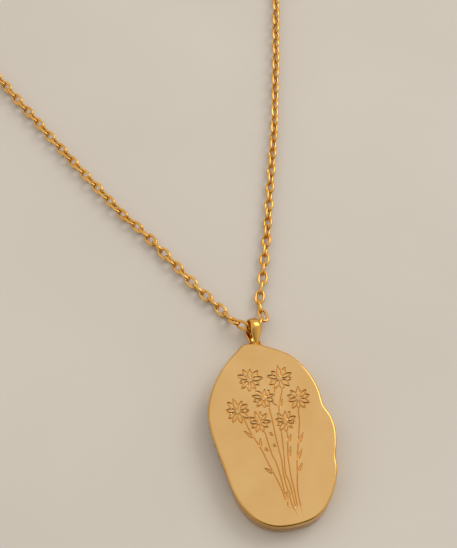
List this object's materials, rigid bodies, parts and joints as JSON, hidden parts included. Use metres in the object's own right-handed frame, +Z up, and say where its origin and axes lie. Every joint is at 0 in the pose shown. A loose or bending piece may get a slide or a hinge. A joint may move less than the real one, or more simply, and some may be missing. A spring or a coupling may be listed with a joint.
{
  "type": "locket necklace",
  "caption": "Pebble-shaped hinged locket with an engraved flower front, photo frames inside, a tapered bail and a fine oval-link chain with a lobster clasp.",
  "frame": {"origin": "middle of the flat back of the locket, which is the surface it lies on", "axes": "+Y from the foot of the locket to its bail, +Z up out of the engraved front, +X to the right seen from the front"},
  "size_m": [0.0751, 0.1115, 0.003],
  "materials": {
    "satin_gold": "polished gold plate, flat face with fine hairlines",
    "bright_gold": "bright polished gold plate",
    "deep_gold": "gold plate on soldered fittings",
    "photo_card": "blank matte photo card",
    "clear_window": "thin clear window",
    "spring_steel": "bare spring steel"
  },
  "bodies": {
    "chain": {"chain_left": "bright_gold", "chain_left_coil": "bright_gold", "chain_right": "bright_gold", "chain_right_coil": "bright_gold", "link_left": "bright_gold", "link_centre": "bright_gold", "link_right": "bright_gold", "clasp_ring": "bright_gold"},
    "bail": {"bail": "bright_gold"},
    "back": {"back_case": "satin_gold", "hinge_knuckle_top": "deep_gold", "hinge_knuckle_bottom": "deep_gold", "hinge_pin": "deep_gold", "catch_tongue": "deep_gold", "back_photo": "photo_card", "back_window": "clear_window", "back_bezel": "bright_gold", "bail_loop": "deep_gold"},
    "cover": {"front_cover": "satin_gold", "hinge_knuckle_cover": "deep_gold", "front_photo": "photo_card", "front_window": "clear_window", "front_bezel": "bright_gold"},
    "clasp": {"clasp_body": "bright_gold", "clasp_pin": "deep_gold", "clasp_spring": "spring_steel"},
    "lever": {"clasp_lever": "bright_gold"},
    "end_ring": {"end_ring": "bright_gold"}
  },
  "joints": [
    {"name": "bail_swing", "type": "hinge", "parent": "chain", "child": "bail", "pos_m": [0.00121, 0.01496, 0.00156], "axis": [-0.9372, 0.0898, 0.3371], "range_deg": [0, 90]},
    {"name": "loop_swing", "type": "hinge", "parent": "bail", "child": "back", "pos_m": [0.001, 0.01305, 0.0012], "axis": [-1, 0, 0], "range_deg": [0, 50]},
    {"name": "cover_hinge", "type": "hinge", "parent": "back", "child": "cover", "pos_m": [-0.00686, 0.001, 0.00145], "axis": [0, -1, 0], "range_deg": [0, 175]},
    {"name": "clasp_swivel", "type": "hinge", "parent": "chain", "child": "clasp", "pos_m": [-0.03774, 0.06266, 0.0009], "axis": [0, 0, 1], "range_deg": [-20, 20]},
    {"name": "clasp_lever", "type": "hinge", "parent": "clasp", "child": "lever", "pos_m": [-0.03862, 0.06569, 0.0009], "axis": [0, 0, 1], "range_deg": [0, 20], "stiffness_Nm_per_rad": 0.002, "springref_deg": -5.73},
    {"name": "end_ring_swivel", "type": "hinge", "parent": "chain", "child": "end_ring", "pos_m": [0.01054, 0.08181, 0.00075], "axis": [0, 0, 1], "range_deg": [-20, 20]}
  ]
}
